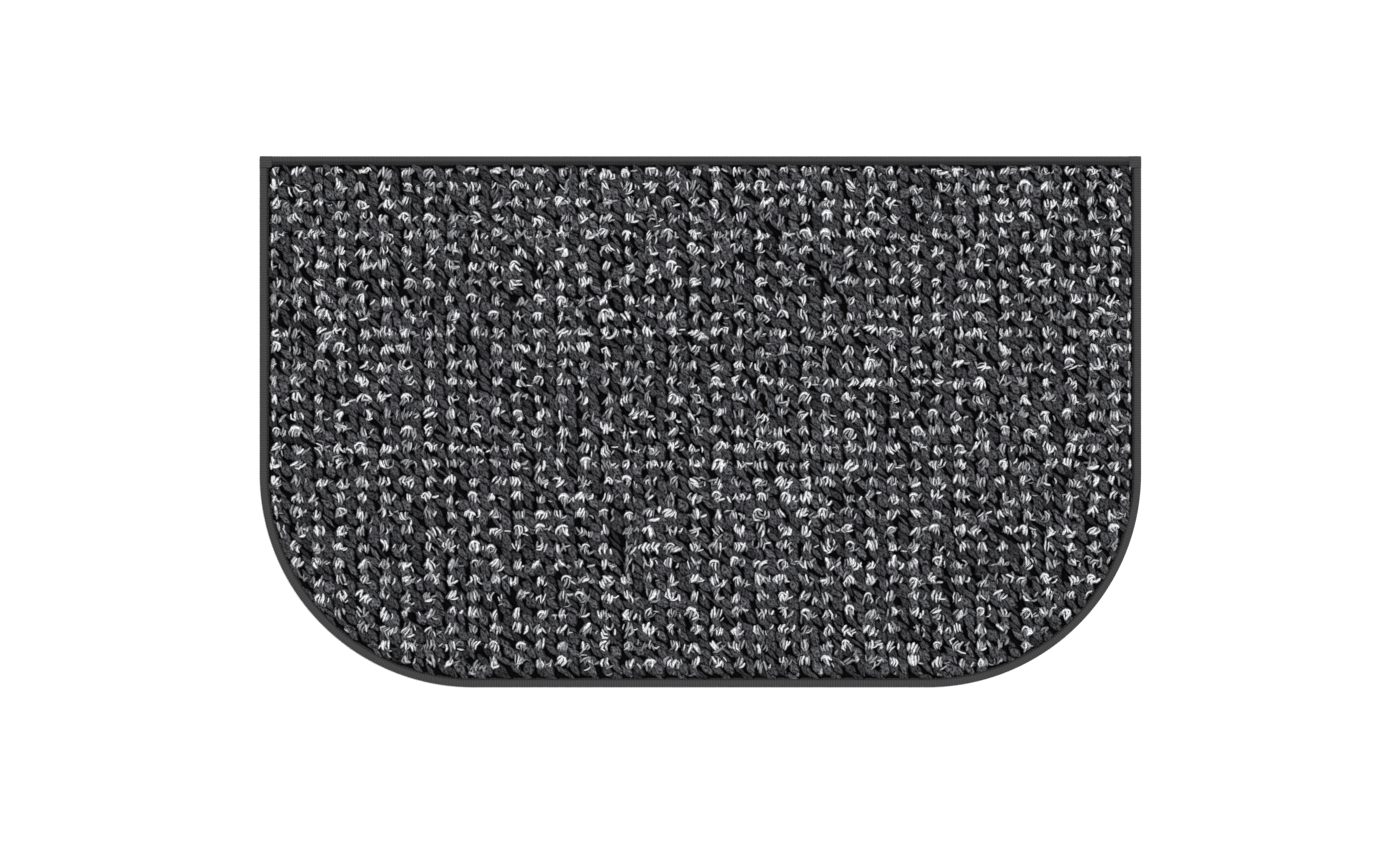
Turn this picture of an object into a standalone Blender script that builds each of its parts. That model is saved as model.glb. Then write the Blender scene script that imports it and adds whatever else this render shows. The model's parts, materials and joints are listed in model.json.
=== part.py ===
"""Half moon loop pile rug: one flat carpet piece with a folded tape bound over its edge.

Metres, +Z up. The origin is on the floor under the middle of the rug's box, X runs
along the straight edge and +Y points at that edge. Run it from Blender's text editor
or with blender --background --python part.py.
"""

import math

import bmesh
import bpy

# Outline of the finished rug
WIDTH = 0.762
DEPTH = 0.459
CORNER_RADIUS = 0.1845
ARC_STEPS = 32

# Heights over the floor
PILE_TOP = 0.0090
TAPE_TOP = 0.0064
SEAM_TOP = 0.0044

# The binding tape: how far it covers the carpet, how thick it is, and how far the side
# tape laps along the straight edge past each square corner
TAPE_COVER = 0.0080
TAPE_THICK = 0.0010
CORNER_LAP = 0.0102

# Room between pieces that touch in the real rug
CLEARANCE = 0.0003

# The tape's outer face, from its inner edge on the floor, round the fold, to the seam.
# Each row is (inset from the rug's edge, height over the floor).
TAPE_OUTSIDE = (
    (TAPE_COVER, 0.0),
    (0.0016, 0.0),
    (0.0005, 0.0005),
    (0.0, 0.0018),
    (0.0, 0.0040),
    (0.0006, 0.0055),
    (0.0020, TAPE_TOP),
    (0.0050, 0.0062),
    (0.0071, 0.0052),
    (TAPE_COVER, SEAM_TOP),
)

# The tape's inner face, back from the seam to its inner edge on the floor
TAPE_INSIDE = (
    (TAPE_COVER, SEAM_TOP - TAPE_THICK),
    (0.0067, 0.0043),
    (0.0048, 0.0052),
    (0.0024, 0.0054),
    (0.0014, 0.0049),
    (TAPE_THICK, 0.0038),
    (TAPE_THICK, 0.0017),
    (0.0016, TAPE_THICK),
    (TAPE_COVER, TAPE_THICK),
)

# The carpet from its flat underside, out and back round the thin rim that the tape
# holds, then up the side of the pile and over its rolled shoulder
RIM_LOW = TAPE_THICK + CLEARANCE
PILE_EDGE = TAPE_COVER + CLEARANCE
CARPET_SECTION = (
    (PILE_EDGE, 0.0),
    (PILE_EDGE, RIM_LOW),
    (0.0017, RIM_LOW),
    (0.0013, 0.0019),
    (0.0013, 0.0036),
    (0.0017, 0.0045),
    (0.0026, 0.0050),
    (0.0046, 0.0048),
    (0.0064, 0.0039),
    (PILE_EDGE, 0.0029),
    (PILE_EDGE, 0.0052),
    (0.0089, 0.0067),
    (0.0104, 0.0080),
    (0.0130, 0.0087),
    (0.0165, PILE_TOP),
)

# name: (red, green, blue, roughness), colours as linear values
FINISHES = {
    "charcoal_loop_pile": (0.072, 0.069, 0.073, 0.95),
    "grey_binding_tape": (0.068, 0.064, 0.066, 0.90),
}


def clear_scene():
    """Removes the objects that the file opened with."""
    for thing in list(bpy.data.objects):
        bpy.data.objects.remove(thing, do_unlink=True)


def fabric(name):
    """One of the rug's fabric finishes as a material."""
    red, green, blue, roughness = FINISHES[name]
    material = bpy.data.materials.new(name)
    material.use_nodes = True
    shader = material.node_tree.nodes["Principled BSDF"]
    shader.inputs["Base Color"].default_value = (red, green, blue, 1.0)
    shader.inputs["Roughness"].default_value = roughness
    shader.inputs["Metallic"].default_value = 0.0
    return material


def arc(centre_x, centre_y, radius, start_deg):
    """A quarter circle, counter-clockwise from start_deg."""
    angles = (math.radians(start_deg + 90.0 * i / ARC_STEPS) for i in range(ARC_STEPS + 1))
    return [(centre_x + radius * math.cos(a), centre_y + radius * math.sin(a)) for a in angles]


def outline(inset):
    """The rug's outline moved in by inset, counter-clockwise from the right square corner."""
    side, edge = WIDTH / 2 - inset, DEPTH / 2 - inset
    across, down = WIDTH / 2 - CORNER_RADIUS, -DEPTH / 2 + CORNER_RADIUS
    radius = CORNER_RADIUS - inset
    corners = [(side, edge), (-side, edge)]
    return corners + arc(-across, down, radius, 180) + arc(across, down, radius, 270)


def solid_from_section(name, section, material, ring_shaped):
    """Runs a section of (inset, height) rows round the outline.

    A ring-shaped section joins its last row to its first one. Any other is closed by a
    flat face at its first row and one at its last.
    """
    shell = bmesh.new()
    rings = []
    for inset, height in section:
        rings.append([shell.verts.new((x, y, height)) for x, y in outline(inset)])
    pairs = list(zip(rings, rings[1:]))
    if ring_shaped:
        pairs.append((rings[-1], rings[0]))
    else:
        shell.faces.new(rings[0])
        shell.faces.new(rings[-1])
    for low, high in pairs:
        for i in range(len(low)):
            shell.faces.new((low[i - 1], low[i], high[i], high[i - 1]))
    bmesh.ops.recalc_face_normals(shell, faces=shell.faces[:])
    mesh = bpy.data.meshes.new(name)
    shell.to_mesh(mesh)
    shell.free()
    mesh.shade_smooth()
    mesh.set_sharp_from_angle(angle=math.radians(50))
    mesh.materials.append(material)
    thing = bpy.data.objects.new(name, mesh)
    bpy.context.collection.objects.link(thing)
    return thing


def straight_edge_box(name, half_length):
    """A helper block over the tape of the straight edge, left out of the build."""
    reach = 2 * TAPE_COVER
    bpy.ops.mesh.primitive_cube_add(size=1.0, location=(0.0, DEPTH / 2, TAPE_TOP / 2))
    box = bpy.context.object
    box.name = name
    box.scale = (2 * half_length, 2 * (TAPE_COVER + CLEARANCE / 2), 2 * reach)
    box.hide_render = True
    box.display_type = "WIRE"
    return box


def keep(thing, operation, box):
    """Cuts thing by box, or keeps only what lies in it."""
    cut = thing.modifiers.new(operation.lower(), "BOOLEAN")
    cut.operation = operation
    cut.solver = "EXACT"
    cut.object = box


def carpet(material):
    """The cut piece of loop pile carpet with its thin rim, one solid."""
    return solid_from_section("carpet", CARPET_SECTION, material, ring_shaped=False)


def binding_tapes(material):
    """The straight edge's own tape, and the side tape that laps over its two ends."""
    section = TAPE_OUTSIDE + TAPE_INSIDE
    side = solid_from_section("binding_side", section, material, ring_shaped=True)
    top = solid_from_section("binding_top", section, material, ring_shaped=True)
    lap_end = WIDTH / 2 - CORNER_LAP
    keep(side, "DIFFERENCE", straight_edge_box("side_cutter", lap_end))
    keep(top, "INTERSECT", straight_edge_box("top_keeper", lap_end - CLEARANCE))
    return [side, top]


def main():
    clear_scene()
    pile = fabric("charcoal_loop_pile")
    tape = fabric("grey_binding_tape")
    rug = bpy.data.objects.new("half_moon_rug", None)
    bpy.context.collection.objects.link(rug)
    for piece in [carpet(pile), *binding_tapes(tape)]:
        piece.parent = rug


main()
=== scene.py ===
import json
import math

import bpy
import numpy as np
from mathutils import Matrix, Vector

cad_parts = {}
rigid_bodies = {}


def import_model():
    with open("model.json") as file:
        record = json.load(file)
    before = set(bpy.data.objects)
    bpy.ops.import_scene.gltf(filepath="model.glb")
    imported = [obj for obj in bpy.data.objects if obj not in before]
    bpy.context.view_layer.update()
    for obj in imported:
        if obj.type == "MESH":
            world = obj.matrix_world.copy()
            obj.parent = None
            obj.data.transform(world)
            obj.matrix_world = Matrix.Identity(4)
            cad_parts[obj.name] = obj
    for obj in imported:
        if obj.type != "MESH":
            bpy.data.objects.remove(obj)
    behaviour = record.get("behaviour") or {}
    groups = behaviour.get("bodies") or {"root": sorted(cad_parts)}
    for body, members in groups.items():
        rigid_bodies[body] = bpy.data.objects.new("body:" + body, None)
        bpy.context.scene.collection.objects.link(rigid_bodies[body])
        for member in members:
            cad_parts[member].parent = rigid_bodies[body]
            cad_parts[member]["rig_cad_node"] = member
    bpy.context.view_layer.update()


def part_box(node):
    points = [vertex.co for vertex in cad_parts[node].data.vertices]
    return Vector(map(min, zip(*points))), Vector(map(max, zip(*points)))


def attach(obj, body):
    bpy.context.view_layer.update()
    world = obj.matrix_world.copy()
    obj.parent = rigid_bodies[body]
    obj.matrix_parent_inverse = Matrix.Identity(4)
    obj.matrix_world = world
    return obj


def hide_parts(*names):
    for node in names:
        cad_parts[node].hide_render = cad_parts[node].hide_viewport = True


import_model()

bl_info = {
    "name": "Half moon loop pile rug",
    "version": (1, 0, 0),
    "blender": (4, 5, 0),
    "location": "View3D > Sidebar > Rug",
    "description": "Backing, looped pile, bound edge and stage of a half moon rug",
    "category": "Object",
}

MM = 0.001
EDGE_LOW, EDGE_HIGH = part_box("binding_side")
TOP_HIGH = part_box("binding_top")[1]
PILE_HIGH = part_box("carpet")[1]

# The map that yarn and tape patterns are drawn on. The export bakes through this name.
PATTERN_MAP = "OFBake"

# A strand's tone is one of this many columns of the pattern map
TONES = 16

# Stations along a strand as shares of its path, and how high each stands between its
# root and its crown: a steep rise out of the base, a long back and a steep head
STRAND_AT = np.array([0.0, 0.12, 0.50, 0.88, 1.0])
STRAND_RISE = np.array([0.0, 0.80, 1.0, 0.86, 0.0])
CURL_AT = np.array([0.0, 0.09, 0.22, 0.38, 0.54, 0.70, 0.87, 1.0])
CURL_RISE = np.array([0.0, 0.64, 0.93, 1.0, 1.0, 0.96, 0.80, 0.0])

# Corners round a strand in degrees from its right side, and the plies of a charcoal loop
ROUND = np.array([0.0, 90.0, 180.0, 270.0])
PLIES = 4

# How a strand's colour is painted with shade, as (place, share of its colour): round it from its
# right side over its crest, with painted shade on its flanks and underside, and along it from its
# foot to its head, with painted shade towards its ends
STRAND_AROUND = [(0.0, 0.05), (0.10, 0.12), (0.16, 0.8), (0.21, 1.0),
                 (0.29, 1.0), (0.34, 0.8), (0.40, 0.12), (0.5, 0.05)]
STRAND_ALONG = [(0.0, 0.05), (0.08, 0.3), (0.22, 0.85), (0.4, 1.0), (0.92, 1.0), (1.0, 0.35)]

# How a charcoal loop's colour is painted with shade, across its plies and along them. Its rim is
# painted as a thin dark line of shade all round, where it sinks between its neighbours.
LOOP_AROUND = [(0.0, 0.0), (0.18, 0.01), (0.235, 0.45), (0.285, 1.0),
               (0.715, 1.0), (0.765, 0.45), (0.82, 0.01), (1.0, 0.0)]
LOOP_ALONG = [(0.0, 0.0), (0.23, 0.01), (0.29, 0.45), (0.345, 1.0),
              (0.655, 1.0), (0.71, 0.45), (0.77, 0.01), (1.0, 0.0)]

# Ribs along the tape and threads across it in each repeat of its map
RIBS = 32
THREADS = 44

# Strands and loops rise from this height, and keep this clear of the tape
ROOT = 2.6 * MM
TAPE_GAP = 0.1 * MM

# How wide the pile's rolled shoulder is, and how far the loops' crowns bulge over the tape
SHOULDER_WIDTH = 5 * MM
BULGE = 1.2 * MM

# How far the plies of a charcoal loop spread to each side and bend over its top, in
# degrees, and the lowest that they reach
PLY_SPREAD, PLY_BEND = 86, 98
LOOP_FOOT = 1.6 * MM

# What the camera looks down at, which gives the rug its place in the picture
AIM = (-0.0004, -0.0050, 0.0065)

# Half the floor's side, and how far it lies under the rug so that the two don't share a plane
FLOOR_HALF = 15.0
FLOOR_DROP = 0.0002


def linear(hex_code):
    """An sRGB hex colour as linear red, green and blue."""
    parts = (int(hex_code[i:i + 2], 16) / 255 for i in (1, 3, 5))
    return tuple(c / 12.92 if c <= 0.04045 else ((c + 0.055) / 1.055) ** 2.4 for c in parts)


def metres(name, description, default):
    """A length that a user may change."""
    return bpy.props.FloatProperty(
        name=name, description=description, default=default, min=0.0, unit="LENGTH", precision=4
    )


def colour(name, description, hex_code):
    """A colour that a user may change."""
    return bpy.props.FloatVectorProperty(
        name=name, description=description, default=linear(hex_code), min=0.0, max=1.0,
        size=3, subtype="COLOR",
    )


class RugOutline(bpy.types.PropertyGroup):
    """The rug's outline, the height of its pile and the tape's place on it."""

    width: metres("Width", "Length of the straight edge", EDGE_HIGH.x - EDGE_LOW.x)
    depth: metres("Depth", "Straight edge to the far side", EDGE_HIGH.y - EDGE_LOW.y)
    corner_radius: metres("Corner radius", "Radius of the two round corners", 0.1845)
    pile_top: metres("Pile top", "Height of the crowns of the loops", PILE_HIGH.z)
    tape_cover: metres("Tape cover", "How far the tape covers the carpet", 0.0080)
    tape_lap: metres("Corner lap", "Side tape past a square corner", EDGE_HIGH.x - TOP_HIGH.x)


class RugPile(bpy.types.PropertyGroup):
    """The looped pile: its stitches, its yarns and their colours."""

    column: metres("Column spacing", "Stitch to stitch along the straight edge", 0.01909)
    row: metres("Row spacing", "Stitch to stitch away from it", 0.01426)
    strand: metres("Strand thickness", "Thickness of an off-white strand", 0.0034)
    seed: bpy.props.IntProperty(name="Seed", description="Picks how the yarn falls", default=7)
    pale: colour("Off-white", "The brightest off-white strands", "#f9fafc")
    # Grey is the off-white yarn painted greyer: partly a duller tone, partly painted shade for
    # strands low in a tuft
    dim: colour("Grey", "The dullest off-white strands", "#68696d")
    charcoal: colour("Charcoal", "The lightest charcoal plies", "#5d5d61")
    soot: colour("Soot", "The darkest charcoal plies", "#27272a")


class RugBinding(bpy.types.PropertyGroup):
    """The binding tape and the seam that holds it."""

    rib: metres("Rib spacing", "Rib to rib of the tape's weave", 0.0022)
    stitch: metres("Stitch length", "Needle hole to needle hole of the seam", 0.0040)
    tape: colour("Tape", "The binding tape", "#3c3b3c")
    thread: colour("Thread", "The seam's thread", "#1e1d1f")


class RugStage(bpy.types.PropertyGroup):
    """Floor, light and camera."""

    floor: colour("Floor", "The pale floor", "#f7f7f7")
    key: bpy.props.FloatProperty(
        name="Key", description="Strength of the overhead light", default=2.4)
    fill: bpy.props.FloatProperty(
        name="Fill", description="Strength of the pale surroundings", default=0.62)
    distance: metres("Camera height", "Camera over the rug", 4.5356)


# Materials


def node(tree, kind, settings=None, inputs=None):
    """Adds a shader node, sets its properties, and sets or links its inputs."""
    made = tree.nodes.new(kind)
    for name, value in (settings or {}).items():
        setattr(made, name, value)
    for name, value in (inputs or {}).items():
        if isinstance(value, bpy.types.NodeSocket):
            tree.links.new(value, made.inputs[name])
        else:
            made.inputs[name].default_value = value
    return made


def new_material(name, **constants):
    """A material with a Principled shader and these constants on its own sockets."""
    material = bpy.data.materials.new(name)
    material.use_nodes = True
    shader = material.node_tree.nodes["Principled BSDF"]
    for socket, value in constants.items():
        shader.inputs[socket.replace("_", " ")].default_value = value
    return material, material.node_tree, shader


def set_ramp(ramp, stops):
    """Gives a colour ramp these (place, colour) stops."""
    elements = ramp.color_ramp.elements
    while len(elements) < len(stops):
        elements.new(0.5)
    for element, (place, value) in zip(elements, stops):
        element.position = place
        element.color = (*value, 1.0)


def bulked_yarn(name, low, high, fibres, grain, plies, roughness, around, along):
    """Bulked polypropylene yarn: a bundle of fine crimped filaments.

    It is matt and a little uneven. Each strand takes its own tone, fine streaks run
    along it where filaments catch the light, and its ends are painted darker as shade where they
    sink into the pile. fibres are the locks of filaments across a strand and along it, and grain is
    how dark and how bright they get.
    """
    material, tree, shader = new_material(
        name, Roughness=roughness, IOR=1.49, Specular_IOR_Level=0.06
    )
    place = node(tree, "ShaderNodeUVMap", {"uv_map": PATTERN_MAP})
    parts = node(tree, "ShaderNodeSeparateXYZ", inputs={"Vector": place.outputs["UV"]})
    tone = node(tree, "ShaderNodeMath", {"operation": "SNAP"},
                {0: parts.outputs["X"], 1: 1.0 / TONES})
    colours = node(tree, "ShaderNodeValToRGB", inputs={"Fac": tone.outputs[0]})
    set_ramp(colours, [(0.0, low), (1.0 - 1.0 / TONES, high)])
    # Filaments are about 0.1 mm, too fine to show, so they are drawn in locks of 0.4 mm
    streaks = node(tree, "ShaderNodeMapping", inputs={
        "Vector": place.outputs["UV"], "Scale": (TONES * fibres[0], fibres[1], 1.0)})
    noise = node(tree, "ShaderNodeTexNoise", {"noise_dimensions": "2D"},
                 {"Vector": streaks.outputs["Vector"], "Scale": 1.0, "Detail": 2.0})
    streak = node(tree, "ShaderNodeMapRange", inputs={
        "Value": noise.outputs["Fac"], "From Min": 0.32, "From Max": 0.68,
        "To Min": grain[0], "To Max": grain[1]})
    # Painted shade towards the ends of a strand or loop
    ends = node(tree, "ShaderNodeValToRGB", inputs={"Fac": parts.outputs["Y"]})
    set_ramp(ends, [(stop, (share,) * 3) for stop, share in along])
    # A tone's column runs once round a strand, or once across a loop's plies. Their flanks, which
    # what lies beside them would shade, are painted darker as shade.
    column = node(tree, "ShaderNodeMath", {"operation": "MULTIPLY"},
                  {0: parts.outputs["X"], 1: TONES})
    round_it = node(tree, "ShaderNodeMath", {"operation": "FRACT"}, {0: column.outputs[0]})
    flanks = node(tree, "ShaderNodeValToRGB", inputs={"Fac": round_it.outputs[0]})
    set_ramp(flanks, [(stop, (share,) * 3) for stop, share in around])
    # Grooves between the plies, where a piece has several side by side, painted darker as shade
    ply = node(tree, "ShaderNodeMath", {"operation": "MULTIPLY_ADD"},
               {0: round_it.outputs[0], 1: 2 * math.pi * plies, 2: -math.pi / 2})
    groove = node(tree, "ShaderNodeMath", {"operation": "SINE"}, {0: ply.outputs[0]})
    depth = node(tree, "ShaderNodeMapRange", inputs={
        "Value": groove.outputs[0], "From Min": -1.0,
        "To Min": 0.78 if plies else 1.0, "To Max": 1.0})
    uneven = node(tree, "ShaderNodeMath", {"operation": "MULTIPLY"},
                  {0: streak.outputs[0], 1: depth.outputs[0]})
    streaked = node(tree, "ShaderNodeVectorMath", {"operation": "SCALE"},
                    {0: colours.outputs["Color"], "Scale": uneven.outputs[0]})
    sunk = node(tree, "ShaderNodeVectorMath", {"operation": "MULTIPLY"},
                {0: streaked.outputs[0], 1: ends.outputs["Color"]})
    shaded = node(tree, "ShaderNodeVectorMath", {"operation": "MULTIPLY"},
                  {0: sunk.outputs[0], 1: flanks.outputs["Color"]})
    tree.links.new(shaded.outputs[0], shader.inputs["Base Color"])
    bump = node(tree, "ShaderNodeBump", inputs={
        "Height": noise.outputs["Fac"], "Strength": 0.8, "Distance": 0.4 * MM})
    tree.links.new(bump.outputs["Normal"], shader.inputs["Normal"])
    return material


def woven_tape(name, tint):
    """Plain woven polyester tape: matt cloth with fine ribs across its length."""
    material, tree, shader = new_material(
        name, Roughness=0.85, IOR=1.5, Specular_IOR_Level=0.2
    )
    place = node(tree, "ShaderNodeUVMap", {"uv_map": PATTERN_MAP})
    parts = node(tree, "ShaderNodeSeparateXYZ", inputs={"Vector": place.outputs["UV"]})
    # The real ribs are about 1.8 mm apart, a little too fine to show, so they are drawn
    # at 2.2 mm
    ribs = node(tree, "ShaderNodeMath", {"operation": "MULTIPLY"},
                {0: parts.outputs["X"], 1: RIBS * 2 * math.pi})
    rib = node(tree, "ShaderNodeMath", {"operation": "SINE"}, {0: ribs.outputs[0]})
    threads = node(tree, "ShaderNodeMath", {"operation": "MULTIPLY"},
                   {0: parts.outputs["Y"], 1: THREADS * 2 * math.pi})
    thread = node(tree, "ShaderNodeMath", {"operation": "SINE"}, {0: threads.outputs[0]})
    weave = node(tree, "ShaderNodeMath", {"operation": "MULTIPLY_ADD"},
                 {0: thread.outputs[0], 1: 0.35, 2: rib.outputs[0]})
    level = node(tree, "ShaderNodeMapRange", inputs={
        "Value": weave.outputs[0], "From Min": -1.35, "From Max": 1.35,
        "To Min": 0.60, "To Max": 1.24})
    toned = node(tree, "ShaderNodeVectorMath", {"operation": "SCALE"},
                 {0: tuple(tint), "Scale": level.outputs[0]})
    tree.links.new(toned.outputs[0], shader.inputs["Base Color"])
    bump = node(tree, "ShaderNodeBump", inputs={
        "Height": weave.outputs[0], "Strength": 0.6, "Distance": 0.12 * MM})
    tree.links.new(bump.outputs["Normal"], shader.inputs["Normal"])
    return material


def woven_backing(name):
    """Woven polypropylene carpet backing: flat dark slit-film tapes about 2.5 mm apart, their
    near-black colour partly the backing's own dark and partly painted shade for the deep gaps of
    the pile.
    """
    material, tree, shader = new_material(name, Roughness=0.9, IOR=1.49, Specular_IOR_Level=0.02)
    place = node(tree, "ShaderNodeTexCoord")
    weave = node(tree, "ShaderNodeTexChecker", inputs={
        "Vector": place.outputs["Object"], "Scale": 1 / (2.5 * MM),
        "Color1": (*linear("#0c0b0c"), 1.0), "Color2": (*linear("#080808"), 1.0)})
    tree.links.new(weave.outputs["Color"], shader.inputs["Base Color"])
    bump = node(tree, "ShaderNodeBump", inputs={
        "Height": weave.outputs["Fac"], "Strength": 0.5, "Distance": 0.3 * MM})
    tree.links.new(bump.outputs["Normal"], shader.inputs["Normal"])
    return material


def seam_thread(name, tint):
    """Spun polyester thread: a fine matt twist."""
    material, tree, shader = new_material(name, Roughness=0.6, IOR=1.5)
    place = node(tree, "ShaderNodeTexCoord")
    twist = node(tree, "ShaderNodeTexNoise", inputs={
        "Vector": place.outputs["Object"], "Scale": 1 / (0.4 * MM), "Detail": 1.0})
    level = node(tree, "ShaderNodeMapRange", inputs={
        "Value": twist.outputs["Fac"], "To Min": 0.7, "To Max": 1.2})
    toned = node(tree, "ShaderNodeVectorMath", {"operation": "SCALE"},
                 {0: tuple(tint), "Scale": level.outputs[0]})
    tree.links.new(toned.outputs[0], shader.inputs["Base Color"])
    return material


# Meshes and the rug's edge


def mesh_piece(name, points, faces, material, places=None):
    """A smooth mesh object from arrays, with its pattern map if it has one."""
    mesh = bpy.data.meshes.new(name)
    mesh.from_pydata(points.tolist(), [], faces)
    if places is not None:
        layer = mesh.uv_layers.new(name=PATTERN_MAP)
        layer.uv.foreach_set("vector", places.astype(np.float32).ravel())
    mesh.shade_smooth()
    mesh.materials.append(material)
    piece = bpy.data.objects.new(name, mesh)
    bpy.context.scene.collection.objects.link(piece)
    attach(piece, "root")
    return piece


def edge_of(rug, x, y):
    """How far points lie in from the rug's edge, and the direction that leads inward."""
    side, far = rug.width / 2, rug.depth / 2
    across, down = side - rug.corner_radius, rug.corner_radius - far
    out_x, out_y = np.abs(x) - across, y - down
    reach = np.hypot(out_x, out_y)
    gaps = np.stack([side - np.abs(x), far - y, far + y])
    nearest = gaps.argmin(0)
    inset = gaps.min(0)
    turn_x = np.where(nearest == 0, -np.sign(x), 0.0)
    turn_y = np.where(nearest == 1, -1.0, np.where(nearest == 2, 1.0, 0.0))
    corner = (out_x > 0) & (out_y < 0)
    safe = np.maximum(reach, 1e-9)
    inset = np.where(corner, rug.corner_radius - reach, inset)
    turn_x = np.where(corner, -np.sign(x) * out_x / safe, turn_x)
    turn_y = np.where(corner, -out_y / safe, turn_y)
    return inset, turn_x, turn_y


def bezier(ends, at):
    """Points at shares of cubic curves. ends is (n, 4, 2)."""
    t = at[None, :, None]
    a, b, c, d = (ends[:, i, None, :] for i in range(4))
    return (1 - t) ** 3 * a + 3 * (1 - t) ** 2 * t * b + 3 * (1 - t) * t ** 2 * c + t ** 3 * d


def tubes(centres, radii, tones, at):
    """Closed tubes round the centre lines: points, faces and places on the pattern map."""
    count, stations = centres.shape[:2]
    sides = len(ROUND)
    along = np.gradient(centres, axis=1)
    along /= np.linalg.norm(along, axis=2, keepdims=True) + 1e-12
    chord = centres[:, -1] - centres[:, 0]
    flat = along.copy()
    flat[..., 2] = 0
    flat += 0.05 * chord[:, None] / (np.linalg.norm(chord, axis=1)[:, None, None] + 1e-12)
    beside = np.cross(flat, (0.0, 0.0, 1.0))
    beside /= np.linalg.norm(beside, axis=2, keepdims=True) + 1e-12
    over = np.cross(beside, along)
    over /= np.linalg.norm(over, axis=2, keepdims=True) + 1e-12
    turn = np.radians(ROUND)
    ring = (np.cos(turn)[None, None, :, None] * beside[:, :, None]
            + np.sin(turn)[None, None, :, None] * over[:, :, None])
    points = centres[:, :, None] + radii[:, :, None, None] * ring
    index = np.arange(count * stations * sides).reshape(count, stations, sides)
    after = np.roll(index, -1, axis=2)
    walls = np.stack([index[:, :-1], after[:, :-1], after[:, 1:], index[:, 1:]], -1).reshape(-1, 4)
    caps = np.concatenate([index[:, 0, ::-1], index[:, -1]])
    # The way round a strand runs across its tone's column, and the way along it up the map
    share = 0.02 + 0.96 * np.append(ROUND, 360) / 360
    share = np.stack([share[:-1], share[1:], share[1:], share[:-1]], -1)
    u = (tones[:, None, None] + share) / TONES
    u = np.broadcast_to(u[:, None], (count, stations - 1, sides, 4))
    v = np.stack([at[:-1], at[:-1], at[1:], at[1:]], -1)
    v = np.broadcast_to(v[None, :, None], (count, stations - 1, sides, 4))
    # Each end takes a small spot in the painted shade at its end of the map
    spot = np.stack([0.7 + 0.1 * np.cos(turn), 0.012 + 0.01 * np.sin(turn)], -1)
    cap_u = np.broadcast_to((tones[:, None] + spot[:, 0]) / TONES, (count, sides))
    cap_v = np.broadcast_to(spot[:, 1], (count, sides))
    low = np.stack([cap_u, cap_v], -1).reshape(-1, 2)
    high = np.stack([cap_u, 1 - cap_v], -1).reshape(-1, 2)
    places = np.concatenate([np.stack([u, v], -1).reshape(-1, 2), low, high])
    return points.reshape(-1, 3), walls.tolist() + caps.tolist(), places


# The pile


class Yarn:
    """Collects strands of one make before they are swept."""

    def __init__(self):
        self.ends, self.crowns, self.radii, self.tones = [], [], [], []

    def add(self, ends, crown, radius, tone):
        self.ends.append(ends)
        self.crowns.append(crown)
        self.radii.append(radius)
        self.tones.append(int(np.clip(tone, 0, 0.999) * TONES))


def strand(middle, lean, long, bow, heads=(0.0, 0.0)):
    """A strand's four guide points: a line through its middle, bowed to one side.

    heads move its two ends sideways, the foot first.
    """
    way = np.array([math.sin(lean), math.cos(lean)]) * long / 2
    side = np.array([math.cos(lean), -math.sin(lean)])
    return np.array([middle - way + heads[0] * side, middle - 0.4 * way + bow * side,
                     middle + 0.4 * way + bow * side, middle + way + heads[1] * side])


# How many strands a tuft has and how many stray ends lie beside it, each with the share
# of the stitches that have so many
TUFT_STRANDS = ([2, 3, 4, 5], [0.22, 0.46, 0.27, 0.05])
STRAY_ENDS = ([0, 1, 2, 3], [0.28, 0.40, 0.24, 0.08])

# How loose strands fall: lean in radians as (mean, spread), length in millimetres as
# (least, most), and bow to one side in millimetres as (mean, spread)
ACROSS = ((1.15, 0.3), (5.4, 8.0), (0.7, 0.6))
DULL = ((0.1, 0.5), (5.0, 8.5), (0.0, 0.7))
STRAY = ((0.4, 0.7), (3.4, 6.0), (0.2, 0.8))

# The shares of the tufts with a strand across their foot and with a curl over their head
ACROSS_SHARE, CURL_SHARE = 0.22, 0.12

# How high the crowns are, in millimetres as (mean, spread)
TUFT_CROWN = (9.3, 0.5)
CURL_CROWN = (9.3, 0.3)
DULL_CROWN = (8.4, 0.3)
STRAY_CROWN = (8.8, 0.4)

# The charcoal loops of a stitch: its place from the stitch and how far it scatters, its
# slant and its lean, half its length and half its width, the height of its crown and its
# tone. The last six are (mean, spread). Angles are in radians, lengths in millimetres.
LOOPS = [
    # The one beside the tuft
    ((10.0, -5.2), (1.2, 0.6), (-0.42, 0.16), (-0.24, 0.18), (6.1, 0.5), (6.9, 0.4), (7.9, 0.35),
     (0.50, 0.19)),
    # A lower one under the tuft, seen between its neighbours, with a darker tone as painted shade
    ((0.2, -6.6), (1.2, 0.6), (-0.40, 0.16), (-0.24, 0.18), (6.5, 0.4), (7.2, 0.4), (6.9, 0.3),
     (0.36, 0.17)),
    # One deep between this row's loops and the next row's, with a darker tone as painted shade
    ((8.9, 2.0), (0.7, 0.7), (-0.50, 0.14), (-0.30, 0.16), (7.2, 0.5), (5.9, 0.4), (6.7, 0.3),
     (0.36, 0.17)),
]

# Where the middle stitch lies, how far a tuft scatters about its stitch, and how far past
# the rug's edge a stitch still counts
MIDDLE_STITCH = np.array([-5.5 * MM, 5.6 * MM])
TUFT_SCATTER = np.array([1.5 * MM, 1.1 * MM])
PAST_EDGE = 14 * MM

# How far under the tape's inner edge the middle of a strand may lie along the two sides,
# and how far in from it elsewhere it has to lie
UNDER_TAPE, OFF_TAPE = 3.4 * MM, 1.4 * MM

# Rows whose tufts have strands between them, so that they look almost joined
FULL_ROWS = (-2, 5, 11)

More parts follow.
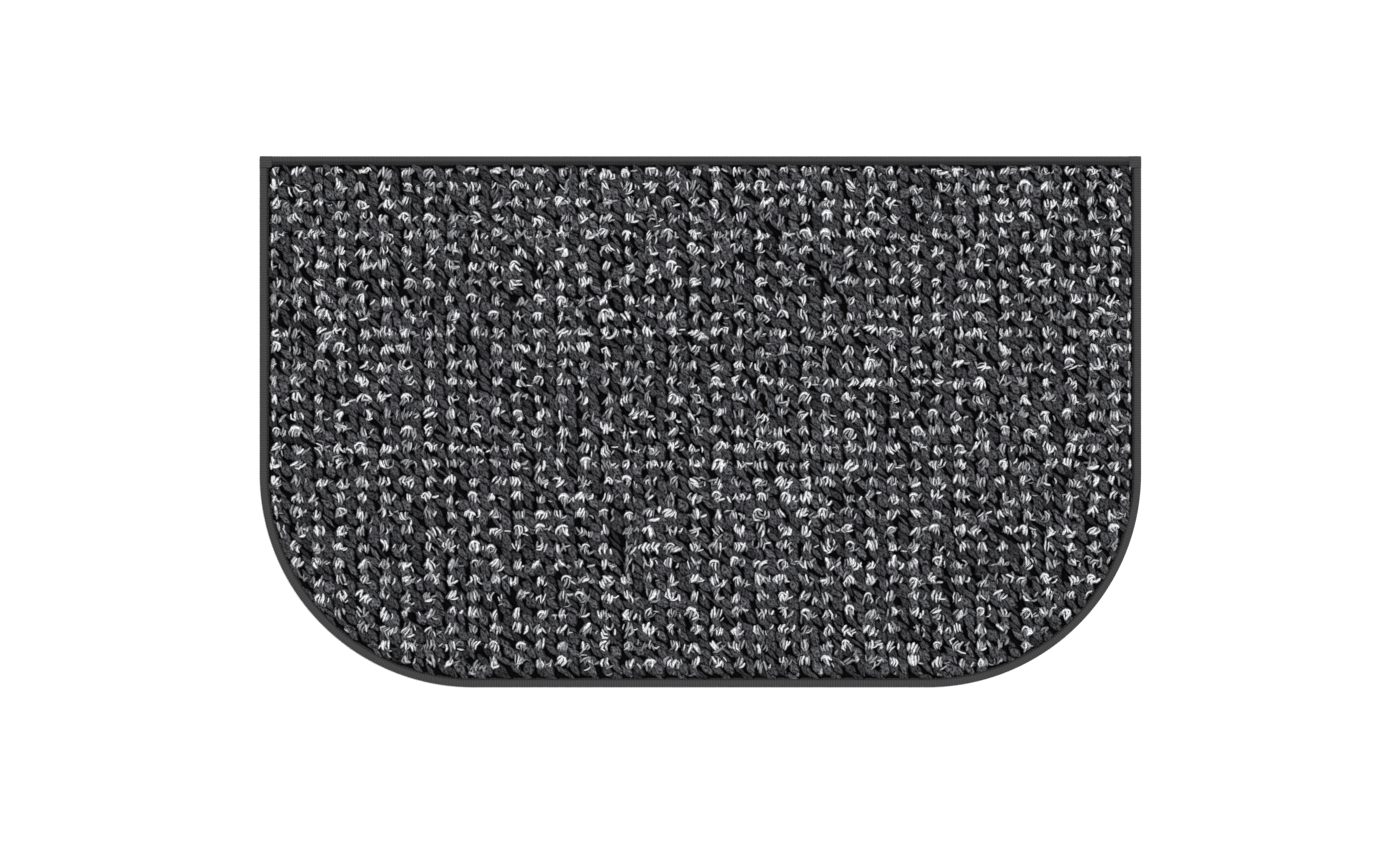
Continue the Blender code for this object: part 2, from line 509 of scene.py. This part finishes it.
# How far the sewn tape pushes the first rows from the straight edge, and over what width
TAPE_PUSH = 2.8 * MM
PUSH_START, PUSH_WIDTH = 11 * MM, 70 * MM


def pick(rng, table):
    """One of a table's numbers, by their shares."""
    numbers, shares = table
    return rng.choice(numbers, p=shares)


def loose(rng, middle, fall):
    """A strand about its middle that falls as one of the kinds above."""
    lean, long, bow = fall
    return strand(middle, rng.normal(*lean), rng.uniform(*long), rng.normal(*bow))


def tuft(rng):
    """Strands and curls of one off-white tuft, in millimetres about its middle, +Y up the rug."""
    strands, curls = [], []
    lean, bow = rng.normal(0.08, 0.34), rng.normal(-0.3, 1.5)
    count, pitch = pick(rng, TUFT_STRANDS), rng.uniform(2.3, 3.0)
    # How far the strands gather at the foot and at the head, where 1 is all the way
    foot, head = rng.uniform(-0.5, 0.6), rng.uniform(-0.2, 0.9)
    side = np.array([math.cos(lean), -math.sin(lean)])
    way = np.array([math.sin(lean), math.cos(lean)])
    for k in range(count):
        off = (k - (count - 1) / 2) * pitch + rng.normal(0, 0.25)
        long = rng.uniform(5.4, 9.8) - 0.25 * abs(off)
        middle = off * side + rng.normal(0, 1.0) * way
        strands.append(strand(middle, lean + rng.normal(0, 0.26), long,
                              bow + 0.08 * off + rng.normal(0, 0.6), (-foot * off, -head * off)))
    if rng.random() < ACROSS_SHARE:
        # A strand that falls across the foot of the others
        strands.append(loose(rng, np.array([rng.normal(2.6, 1.0), rng.normal(-1.8, 1.4)]), ACROSS))
    if rng.random() < CURL_SHARE:
        # One that arches from the left over the head of the others
        high = rng.uniform(4.4, 6.4)
        curls.append(np.array([(-4.4, rng.uniform(-2.4, 1.0)), (-4.6, high), (0.8, high + 0.6),
                               (rng.uniform(2.0, 4.6), rng.uniform(0.4, 2.8))]))
    return strands, curls


def look(rng, brightness, thickness):
    """A strand's radius and tone. brightness is the share of strands in full light; the rest are
    painted grey, partly as a duller tone that differs at random and partly as painted shade.
    """
    tone = rng.uniform(0.76, 1.0) if rng.random() < brightness else rng.uniform(0.1, 0.6)
    return np.clip(rng.lognormal(0.0, 0.30), 0.6, 1.9) * thickness / 2, tone


def add_tuft(rng, strands, curls, here, brightness, thickness):
    """A tuft's own strands and curls."""
    size = MM * rng.normal(0.95, 0.08)
    found, arched = tuft(rng)
    for ends in found:
        radius, tone = look(rng, brightness, thickness)
        strands.add(ends * size + here, rng.normal(*TUFT_CROWN) * MM, radius, tone)
    for ends in arched:
        radius, tone = look(rng, 1.0, thickness)
        curls.add(ends * size + here, rng.normal(*CURL_CROWN) * MM, radius, tone)


def add_dull_strands(rng, strands, here, thickness):
    """Three duller strands lower down in the tuft: off-white yarn painted grey as the shade they
    lie in.
    """
    for _ in range(3):
        ends = loose(rng, rng.normal(0, 1, 2) * (2.6, 2.0), DULL)
        strands.add(ends * MM + here, rng.normal(*DULL_CROWN) * MM, 0.46 * thickness,
                    rng.uniform(0.0, 0.32))


def add_stray_ends(rng, strands, here, brightness, thickness, count):
    """Short stray ends, most of them on the right of the tuft."""
    for k in range(count):
        radius, tone = look(rng, brightness - 0.25, thickness)
        middle = np.array([rng.normal(6.6 + 1.6 * (k > 1), 1.6), rng.normal(-0.9, 2.0)])
        ends = loose(rng, middle, STRAY)
        strands.add(ends * MM + here, rng.normal(*STRAY_CROWN) * MM, 0.85 * radius, tone)


def stitch_loops(rng, bed):
    """The charcoal loops of one stitch: a row of numbers each, as in LOOPS but in metres."""
    rows = []
    for place, scatter, slant, lean, long, wide, crown, tone in LOOPS:
        at = bed + rng.normal(0, 1, 2) * (np.array(scatter) * MM) + np.array(place) * MM
        rows.append([*at, rng.normal(*slant), rng.normal(*lean),
                     rng.normal(*long) * MM, rng.normal(*wide) * MM, rng.normal(*crown) * MM,
                     np.clip(rng.normal(*tone), 0, 0.999)])
    return rows


def fill_pile(rug, pile):
    """Works out every stitch of the pile: off-white strands and curls, and charcoal loops."""
    rng = np.random.default_rng(pile.seed)
    strands, curls, loops = Yarn(), Yarn(), []
    columns = int(rug.width / pile.column / 2) + 2
    rows = int(rug.depth / pile.row / 2) + 2
    for j in range(-rows, rows + 1):
        row_tone = rng.normal(0, 0.03)
        for i in range(-columns, columns + 1):
            stitch = np.array([i * pile.column, j * pile.row]) + MIDDLE_STITCH
            inside = rug.depth / 2 - stitch[1] - PUSH_START
            stitch[1] -= TAPE_PUSH * np.clip(1 - inside / PUSH_WIDTH, 0, 1)
            here = stitch + rng.normal(0, 1, 2) * TUFT_SCATTER
            if edge_of(rug, here[:1], here[1:])[0][0] < -PAST_EDGE:
                continue
            brightness = rng.normal(0.46 + row_tone, 0.14)
            add_tuft(rng, strands, curls, here, brightness, pile.strand)
            add_dull_strands(rng, strands, here, pile.strand)
            beside = pick(rng, STRAY_ENDS) + 2 * (j in FULL_ROWS)
            add_stray_ends(rng, strands, here, brightness, pile.strand, beside)
            # Loops follow their tuft a little way
            loops += stitch_loops(rng, 0.7 * stitch + 0.3 * here)
    return strands, curls, np.array(loops)


def pressed(rug, flat, least):
    """Moves flat points inward until they lie at least so far from the rug's edge."""
    for _ in range(2):  # a second time for the square corners, where two edges meet
        inset, turn_x, turn_y = edge_of(rug, flat[..., 0], flat[..., 1])
        short = np.maximum(least - inset, 0)
        flat = flat + short[..., None] * np.stack([turn_x, turn_y], -1)
    return flat, edge_of(rug, flat[..., 0], flat[..., 1])[0]


def shoulder(rug, inset):
    """How much of its height the pile has so far from the edge: less next to the tape.

    A pile top that a user sets scales it too.
    """
    rolled = 0.64 + 0.36 * np.clip((inset - rug.tape_cover) / SHOULDER_WIDTH, 0, 1) ** 0.5
    return rolled * (rug.pile_top / PILE_HIGH.z)


def loop_lumps(rug, loops, seed):
    """Charcoal loops: closed lumps whose plies lie side by side and bend over the top."""
    rng = np.random.default_rng(seed)
    inset = edge_of(rug, loops[:, 0], loops[:, 1])[0]
    loops = loops[inset > rug.tape_cover - 1.0 * MM]
    x, y, slant, lean, long, wide, crown, tone = (loops[:, i, None, None] for i in range(8))
    count, across, over = len(loops), 2 * PLIES + 1, 7
    side = np.sin(np.linspace(-1, 1, across) * math.radians(PLY_SPREAD))[None, :, None]
    turn = np.radians(np.linspace(-PLY_BEND, PLY_BEND, over))[None, None]
    # Odd columns are the crests of the plies, even ones the grooves between them
    crest = np.where(np.arange(across) % 2, 1.05, 0.93)[None, :, None]
    crest = (crest * rng.normal(1, 0.05, (count, across, 1)) * rng.normal(1, 0.04, (count, 1, over))
             * rng.normal(1, 0.04, (count, across, over)))
    swell = (1 - np.abs(side) ** 2.6) ** 0.42
    reach = swell * crest * np.sin(turn) * wide
    sway = rng.normal(0, 0.5 * MM, (count, 1, 1)) * np.cos(2 * turn)
    flat = np.stack([x + side * long * np.cos(slant) + reach * np.sin(lean) + sway,
                     y + side * long * np.sin(slant) + reach * np.cos(lean)], -1)
    lift = np.sign(np.cos(turn)) * np.abs(np.cos(turn)) ** 0.4 * swell ** 0.5 * crest
    # Only the crowns bulge, and the flanks below them stop at the tape
    bulge = BULGE * np.clip((lift - 0.5) / 0.4, 0, 1)
    flat, inset = pressed(rug, flat, rug.tape_cover + TAPE_GAP - bulge)
    height = ROOT + (crown - ROOT) * lift * shoulder(rug, inset)
    points = np.concatenate([flat, np.maximum(height, LOOP_FOOT)[..., None]], -1)
    index = np.arange(count * across * over).reshape(count, across, over)
    after = np.roll(index, -1, axis=2)
    walls = np.stack([index[:, :-1], index[:, 1:], after[:, 1:], after[:, :-1]], -1).reshape(-1, 4)
    caps = np.concatenate([index[:, 0], index[:, -1, ::-1]])
    column = (tone[:, 0] * TONES).astype(int)
    share = (0.02 + 0.96 * np.arange(across) / (across - 1))[None]
    u = (column + share) / TONES
    u = np.stack([u[:, :-1], u[:, 1:], u[:, 1:], u[:, :-1]], -1)[:, :, None]
    v = np.append(np.linspace(0.02, 0.98, over), 0.02)
    v = np.stack([v[:-1], v[:-1], v[1:], v[1:]], -1)[None, None]
    u, v = np.broadcast_arrays(u, v)
    # Both ends take one small spot in the painted shade at the foot of the map
    a = np.linspace(0, 5.5, over)
    end_u = np.broadcast_to((column + 0.5 + 0.1 * np.cos(a)) / TONES, (count, over))
    end_v = np.broadcast_to(0.015 + 0.01 * np.sin(a), (count, over))
    end = np.stack([end_u, end_v], -1).reshape(-1, 2)
    places = np.concatenate([np.stack([u, v], -1).reshape(-1, 2), end, end])
    return points.reshape(-1, 3), walls.tolist() + caps.tolist(), places


def swept(rug, yarn, at, rise, seed):
    """The yarn's strands as centre lines and radii, pressed down and in at the tape."""
    ends, crowns = np.array(yarn.ends), np.array(yarn.crowns)
    radii, tones = np.array(yarn.radii), np.array(yarn.tones)
    flat = bezier(ends, at)
    inset, turn_x, _ = edge_of(rug, flat[..., 0], flat[..., 1])
    # Along the two sides the last strands lie beside the tape, each pushed a little further
    # or less far, and elsewhere it hides them
    stray = np.random.default_rng(seed).uniform(0, 3, len(flat)) * MM
    beside = np.abs(turn_x).mean(1) > 0.9
    keep = inset.mean(1) > rug.tape_cover + np.where(beside, stray - UNDER_TAPE, OFF_TAPE)
    flat, crowns, radii, tones, stray = (a[keep] for a in (flat, crowns, radii, tones, stray))
    flat, inset = pressed(rug, flat, rug.tape_cover + TAPE_GAP + (radii + 0.8 * stray)[:, None])
    height = ROOT + (crowns - radii - ROOT)[:, None] * rise[None] * shoulder(rug, inset)
    centres = np.concatenate([flat, height[..., None]], 2)
    taper = np.interp(at, [0, 0.3, 0.7, 1], [0.72, 1.0, 1.0, 0.85])
    return centres, radii[:, None] * taper[None], tones


# The binding


def joined(parts):
    """Several sets of points and faces as one."""
    points, faces, start = [], [], 0
    for part_points, part_faces, _ in parts:
        points.append(part_points)
        faces += [[start + corner for corner in face] for face in part_faces]
        start += len(part_points)
    return np.concatenate(points), faces


def ring_walls(index):
    """Faces between each closed ring of points and the next. Each row of index is a ring."""
    after = np.roll(index, -1, axis=1)
    return np.stack([index[:-1], index[1:], after[1:], after[:-1]], -1).reshape(-1, 4)


def path_round(rug, pitch):
    """Stations of the side tape from the left square corner round to the right one.

    Gives each station's place on the rug's edge, the direction inward and the length run.
    """
    side, far, radius = rug.width / 2, rug.depth / 2, rug.corner_radius
    across, down = side - radius, radius - far
    runs = [far - down, radius * math.pi / 2, 2 * across, radius * math.pi / 2, far - down]
    total = sum(runs)
    steps = max(int(round(total / pitch)), 8)
    places, inward = [], []
    for s in np.linspace(0, total, steps + 1):
        run = 0
        at = s
        while run < 4 and at > runs[run]:
            at -= runs[run]
            run += 1
        if run == 0:
            place, turn = (-side, far - at), (1, 0)
        elif run == 1:
            a = math.pi + at / radius
            place = (-across + radius * math.cos(a), down + radius * math.sin(a))
            turn = (-math.cos(a), -math.sin(a))
        elif run == 2:
            place, turn = (-across + at, -far), (0, 1)
        elif run == 3:
            a = 1.5 * math.pi + at / radius
            place = (across + radius * math.cos(a), down + radius * math.sin(a))
            turn = (-math.cos(a), -math.sin(a))
        else:
            place, turn = (side, down + at), (-1, 0)
        places.append(place)
        inward.append(turn)
    return np.array(places), np.array(inward), np.linspace(0, total, steps + 1)


def path_straight(rug, pitch):
    """The same for the straight edge's tape, from right to left between the two laps."""
    half = rug.width / 2 - rug.tape_cover - 0.2 * MM
    run = np.linspace(0, 2 * half, int(2 * half / pitch))
    places = np.stack([half - run, np.full(len(run), rug.depth / 2)], -1)
    return places, np.broadcast_to(np.array([0.0, -1.0]), places.shape), run


# The tape's outline in section, from its inner edge underneath round the fold to the
# seam and back inside, as (inset, height) in millimetres. The seam of the straight edge
# lies further out, so its flat part is narrower.
TAPE_OUTSIDE = [(8.0, 0.0), (5.5, 0.0), (3.0, 0.0), (1.5, 0.05), (0.6, 0.5), (0.1, 1.3), (0.0, 2.4),
                (0.0, 3.6), (0.25, 4.8), (0.9, 5.8), (2.0, 6.35), (3.4, 6.4)]
SIDE_SLOPE = [(5.0, 6.3), (6.1, 6.0), (6.5, 5.2), (6.8, 4.2), (7.9, 3.9), (7.7, 3.3), (6.6, 3.3)]
TOP_SLOPE = [(4.2, 6.1), (5.0, 5.5), (5.4, 4.4), (6.2, 3.8), (7.9, 3.7), (7.7, 3.0), (6.6, 3.2)]
TAPE_INSIDE = [(4.6, 3.5), (3.2, 4.6), (2.4, 5.2), (1.4, 4.7), (1.0, 3.4), (1.0, 1.8),
               (1.8, 1.0), (4.5, 1.0), (8.0, 1.0)]

# Slow wander of the sewn edge: its length, and how far it moves the edge in and up
WANDER, WANDER_IN, WANDER_UP = 18 * MM, 0.16 * MM, 0.10 * MM
NEEDLE_DIP = 0.35 * MM

# The seam's stitches: how far in from the rug's edge they start and end, their height and
# their thickness, in millimetres
SIDE_SEAM = (6.9, 7.3, 4.5, 0.9)
TOP_SEAM = (5.5, 7.6, 4.3, 1.1)

# The backing in section, from its flat underside round the rim that the tape holds, as
# (inset, height) in millimetres
BACKING_SECTION = [(8.3, 0.0), (8.3, 1.3), (1.7, 1.3), (1.3, 1.9), (1.3, 3.4), (1.7, 4.2),
                   (2.5, 4.6), (3.4, 4.1), (4.7, 3.0), (6.4, 2.9), (8.3, 2.7)]

# The patch where the side tape's end is folded over the straight edge, from its tucked
# rim up the fold and over the top, as (inset, height) in millimetres
PATCH_PROFILE = [(0.5, 0.3), (0.05, 0.9), (-0.1, 2.0), (-0.1, 3.8), (0.15, 5.0), (0.8, 6.0),
                 (1.9, 6.6), (3.4, 6.7), (5.2, 6.7), (7.0, 6.65), (8.8, 6.6)]


def tape_mesh(places, inward, run, seed, stitch, slope):
    """Sweeps the tape's section along its stations.

    Gives the points, their numbers by station and by place in the section, and how far
    round the section each place lies as a share.
    """
    rng = np.random.default_rng(seed)
    shape = np.array(TAPE_OUTSIDE + slope + TAPE_INSIDE)
    # The needle goes in on the steep part of the slope
    seam = slope[2][0] + 0.3
    section = shape * MM
    count, ring = len(run), len(section)
    knots = rng.normal(0, 1, int(run[-1] / WANDER) + 4)
    wander = np.interp(run / WANDER, np.arange(len(knots)), knots)
    needle = 0.5 + 0.5 * np.cos(2 * np.pi * run / stitch)
    near_seam = np.exp(-((shape[:, 0] - seam) / 1.1) ** 2) * (shape[:, 1] > 3)
    crown = np.exp(-((shape[:, 0] - 3.2) / 2.4) ** 2) * (shape[:, 1] > 4)
    inner = np.clip((shape[:, 0] - 4) / 4, 0, 1) * (shape[:, 1] > 3)
    inset = section[None, :, 0] + WANDER_IN * wander[:, None] * inner[None]
    height = (section[None, :, 1] - NEEDLE_DIP * needle[:, None] * near_seam[None]
              + WANDER_UP * wander[:, None] * crown[None])
    points = np.empty((count, ring, 3))
    points[..., :2] = places[:, None] + inset[..., None] * inward[:, None]
    points[..., 2] = height
    index = np.arange(count * ring).reshape(count, ring)
    around = np.concatenate([[0], np.cumsum(np.linalg.norm(
        np.diff(np.vstack([shape, shape[:1]]), axis=0), axis=1))])
    across = around / around[-1] * 0.98 + 0.01
    return points.reshape(-1, 3), index, across


def tape_piece(name, path, seed, slope, binding, material):
    """Makes a tape along its path, with its pattern map and end faces."""
    points, index, across = tape_mesh(*path, seed, binding.stitch, slope)
    count, ring = index.shape
    u = path[2] / (RIBS * binding.rib)
    low, high = u[:-1, None], u[1:, None]
    wall_u = np.stack(np.broadcast_arrays(low, high, high, low), -1)
    wall_u = np.broadcast_to(wall_u, (count - 1, ring, 4))
    v = np.stack([across[:-1], across[:-1], across[1:], across[1:]], -1)
    wall_v = np.broadcast_to(v[None], (count - 1, ring, 4))
    places = np.stack([wall_u, wall_v], -1).reshape(-1, 2)
    faces = ring_walls(index).tolist() + [index[0].tolist(), index[-1][::-1].tolist()]
    a = np.linspace(0, 6.2, ring)
    spot = np.stack([0.5 + 0.02 * np.cos(a), 0.5 + 0.02 * np.sin(a)], -1)
    places = np.concatenate([places, spot, spot])
    piece = mesh_piece(name, points, faces, material, places)
    return piece


def corner_patch(rug, hand, repeat, material):
    """The side tape's end, folded square over the straight edge. hand is -1 left, 1 right."""
    # A little past the lap along the edge, and a little short of it down the side
    along, down = rug.tape_lap + 0.2 * MM, rug.tape_lap - 0.4 * MM
    rings, heights = [], []
    for inset, height in PATCH_PROFILE:
        near = inset * MM
        # The corner is rounder low down on the fold than on top
        bend = max(1.4 * MM - max(near, 0), 0.25 * MM)
        corner = [(near + bend * (1 - math.sin(a)), near + bend * (1 - math.cos(a)))
                  for a in (0.0, math.pi / 6, math.pi / 3, math.pi / 2)]
        straight = [(along + (corner[0][0] - along) * s, near) for s in (0.0, 0.35, 0.7)]
        beside = [(near, corner[-1][1] + (down - corner[-1][1]) * s) for s in (0.3, 0.65, 1.0)]
        rings.append(straight + corner + beside)
        heights.append(height * MM)
    flat, count = np.array(rings), len(rings[0])
    levels = np.broadcast_to(np.array(heights)[:, None], flat.shape[:2])
    points = np.stack([hand * (rug.width / 2 - flat[..., 0]), rug.depth / 2 - flat[..., 1],
                       levels], -1)
    index = np.arange(flat.shape[0] * count).reshape(-1, count)
    walls = np.stack([index[:-1, :-1], index[:-1, 1:], index[1:, 1:], index[1:, :-1]], -1)
    faces = walls.reshape(-1, 4).tolist() + [index[-1].tolist()]
    if hand > 0:
        faces = [face[::-1] for face in faces]
    # Both directions of the map also run up the folds, so that no face is without width on it
    slanted = flat + 0.7 * levels[..., None]
    spots = np.stack([slanted[..., 1] / repeat, 0.2 + slanted[..., 0] / (60 * MM)], -1)
    places = np.concatenate([spots.reshape(-1, 2)[face] for face in faces])
    name = "binding_corner_left" if hand < 0 else "binding_corner_right"
    piece = mesh_piece(name, points.reshape(-1, 3), faces, material, places)
    cloth = piece.modifiers.new("cloth_thickness", "SOLIDIFY")
    cloth.thickness, cloth.offset = 0.4 * MM, -1.0
    return piece


def stitches(places, inward, run, seam, stitch):
    """The seam's thread: one short arched stitch after another along the tape's inner edge."""
    start, end, height, thick = (value * MM for value in seam)
    starts = np.arange(2.0 * MM, run[-1] - stitch, stitch)
    share = np.array([0.04, 0.2, 0.5, 0.8, 0.96])
    lift = np.array([-0.55, 0.0, 0.12, 0.0, -0.55]) * MM
    s = starts[:, None] + stitch * share[None]
    reach = start + (end - start) * share[None]
    centres = np.empty((*s.shape, 3))
    for axis in range(2):
        base = np.interp(s, run, places[:, axis])
        turn = np.interp(s, run, inward[:, axis])
        centres[..., axis] = base + reach * turn
    centres[..., 2] = height + lift[None]
    radii = np.full(s.shape, thick / 2)
    return tubes(centres, radii, np.zeros(len(starts), int), share)


# Operators and the sidebar


class RUG_OT_backing(bpy.types.Operator):
    """Make the carpet's woven backing, with the rim that the tape holds."""

    bl_idname = "rug.backing"
    bl_label = "Backing"

    def execute(self, context):
        rug = context.scene.rug_outline
        section = np.array(BACKING_SECTION) * MM
        places, inward, _ = path_round(rug, 4 * MM)
        points = np.empty((len(section), len(places), 3))
        points[..., :2] = places[None] + section[:, None, :1] * inward[None]
        # The two ends also move in from the straight edge
        points[:, 0, 1] -= section[:, 0]
        points[:, -1, 1] -= section[:, 0]
        points[..., 2] = section[:, None, 1]
        index = np.arange(len(section) * len(places)).reshape(len(section), -1)
        faces = ring_walls(index).tolist() + [index[0].tolist(), index[-1][::-1].tolist()]
        backing = mesh_piece("rug_backing", points.reshape(-1, 3), faces,
                             woven_backing("woven_polypropylene_backing"))
        backing.data.set_sharp_from_angle(angle=math.radians(50))
        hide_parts("carpet")
        return {"FINISHED"}


class RUG_OT_pile(bpy.types.Operator):
    """Make the looped pile: tufts of off-white strands between charcoal loops."""

    bl_idname = "rug.pile"
    bl_label = "Looped pile"

    def execute(self, context):
        rug, pile = context.scene.rug_outline, context.scene.rug_pile
        strands, curls, loops = fill_pile(rug, pile)
        off_white = bulked_yarn(
            "off_white_polypropylene_yarn", tuple(pile.dim), tuple(pile.pale), fibres=(9, 4.0),
            grain=(0.4, 1.2), plies=0, roughness=0.65, around=STRAND_AROUND, along=STRAND_ALONG)
        charcoal = bulked_yarn(
            "charcoal_polypropylene_yarn", tuple(pile.soot), tuple(pile.charcoal), fibres=(9, 10.0),
            grain=(0.0, 1.7), plies=PLIES, roughness=0.8, around=LOOP_AROUND, along=LOOP_ALONG)
        centres, radii, tones = swept(rug, strands, STRAND_AT, STRAND_RISE, pile.seed)
        order = np.argsort(centres[:, 2, 0], kind="stable")
        for number, part in enumerate(np.array_split(order, 3), 1):
            found = tubes(centres[part], radii[part], tones[part], STRAND_AT)
            piece = mesh_piece(f"off_white_tufts_{number}", found[0], found[1], off_white, found[2])
        centres, radii, tones = swept(rug, curls, CURL_AT, CURL_RISE, pile.seed)
        found = tubes(centres, radii, tones, CURL_AT)
        piece = mesh_piece("off_white_curls", found[0], found[1], off_white, found[2])
        for number, part in enumerate(np.array_split(loops[np.argsort(loops[:, 0])], 3), 1):
            found = loop_lumps(rug, part, pile.seed + number)
            piece = mesh_piece(f"charcoal_loops_{number}", found[0], found[1], charcoal, found[2])
        return {"FINISHED"}


class RUG_OT_binding(bpy.types.Operator):
    """Make the folded binding tapes and the stitches that hold them."""

    bl_idname = "rug.binding"
    bl_label = "Bound edge"

    def execute(self, context):
        rug, binding = context.scene.rug_outline, context.scene.rug_binding
        tape = woven_tape("woven_polyester_binding_tape", tuple(binding.tape))
        side_path = path_round(rug, binding.stitch / 2)
        side = tape_piece("binding_tape_side", side_path, 3, SIDE_SLOPE, binding, tape)
        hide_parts("binding_side")
        top_path = path_straight(rug, binding.stitch / 2)
        top = tape_piece("binding_tape_top", top_path, 4, TOP_SLOPE, binding, tape)
        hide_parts("binding_top")
        for hand in (-1, 1):
            corner_patch(rug, hand, RIBS * binding.rib, tape)
        thread = seam_thread("spun_polyester_seam_thread", tuple(binding.thread))
        points, faces = joined([stitches(*side_path, SIDE_SEAM, binding.stitch),
                                stitches(*top_path, TOP_SEAM, binding.stitch / 2)])
        seam = mesh_piece("binding_seam", points, faces, thread)
        return {"FINISHED"}


class RUG_OT_stage(bpy.types.Operator):
    """Make the floor, the light and the camera."""

    bl_idname = "rug.stage"
    bl_label = "Stage"

    def execute(self, context):
        scene, stage = context.scene, context.scene.rug_stage
        mesh = bpy.data.meshes.new("floor")
        corners = [(-1, -1), (1, -1), (1, 1), (-1, 1)]
        points = [(x * FLOOR_HALF, y * FLOOR_HALF, 0) for x, y in corners]
        mesh.from_pydata(points, [], [(0, 1, 2, 3)])
        # Matt paint: an even pale ground without a shine
        paint, _, _ = new_material("matt_white_floor_paint", Roughness=0.9,
                                   Base_Color=(*stage.floor, 1.0))
        mesh.materials.append(paint)
        floor = bpy.data.objects.new("floor", mesh)
        floor.location.z = -FLOOR_DROP
        scene.collection.objects.link(floor)
        world = bpy.data.worlds.new("pale_studio")
        world.use_nodes = True
        background = world.node_tree.nodes["Background"]
        background.inputs["Color"].default_value = (1.0, 1.0, 1.0, 1.0)
        background.inputs["Strength"].default_value = stage.fill
        scene.world = world
        # A wide light, so that shadows are soft, tilted a little to model the loops
        sun = bpy.data.lights.new("overhead_key", "SUN")
        sun.energy, sun.angle = stage.key, math.radians(14)
        key = bpy.data.objects.new("overhead_key", sun)
        key.rotation_euler = (math.radians(-9), math.radians(8), 0)
        scene.collection.objects.link(key)
        # A long lens far overhead, straight down
        lens = bpy.data.cameras.new("camera")
        lens.lens, lens.sensor_width, lens.clip_end = 135.0, 36.0, 100.0
        camera = bpy.data.objects.new("camera", lens)
        camera.location = (AIM[0], AIM[1], AIM[2] + stage.distance)
        scene.collection.objects.link(camera)
        scene.camera = camera
        scene.view_settings.view_transform = "Standard"
        return {"FINISHED"}


class RUG_PT_sidebar(bpy.types.Panel):
    """Lists the rug's pieces in the 3D view's sidebar."""

    bl_idname = "RUG_PT_sidebar"
    bl_label = "Half moon rug"
    bl_space_type = "VIEW_3D"
    bl_region_type = "UI"
    bl_category = "Rug"

    def draw(self, context):
        for group in GROUPS:
            settings = getattr(context.scene, group)
            box = self.layout.box()
            for name in settings.__annotations__:
                box.prop(settings, name)
        for operator in OPERATORS:
            self.layout.operator(operator.bl_idname)


GROUPS = {
    "rug_outline": RugOutline,
    "rug_pile": RugPile,
    "rug_binding": RugBinding,
    "rug_stage": RugStage,
}
OPERATORS = [RUG_OT_backing, RUG_OT_pile, RUG_OT_binding, RUG_OT_stage]


def register():
    for kind in [*GROUPS.values(), *OPERATORS, RUG_PT_sidebar]:
        bpy.utils.register_class(kind)
    for name, kind in GROUPS.items():
        setattr(bpy.types.Scene, name, bpy.props.PointerProperty(type=kind))


def unregister():
    for name in GROUPS:
        delattr(bpy.types.Scene, name)
    for kind in reversed([*GROUPS.values(), *OPERATORS, RUG_PT_sidebar]):
        bpy.utils.unregister_class(kind)


def main():
    register()
    bpy.ops.rug.backing()
    bpy.ops.rug.pile()
    bpy.ops.rug.binding()
    bpy.ops.rug.stage()


if __name__ == "__main__":
    main()
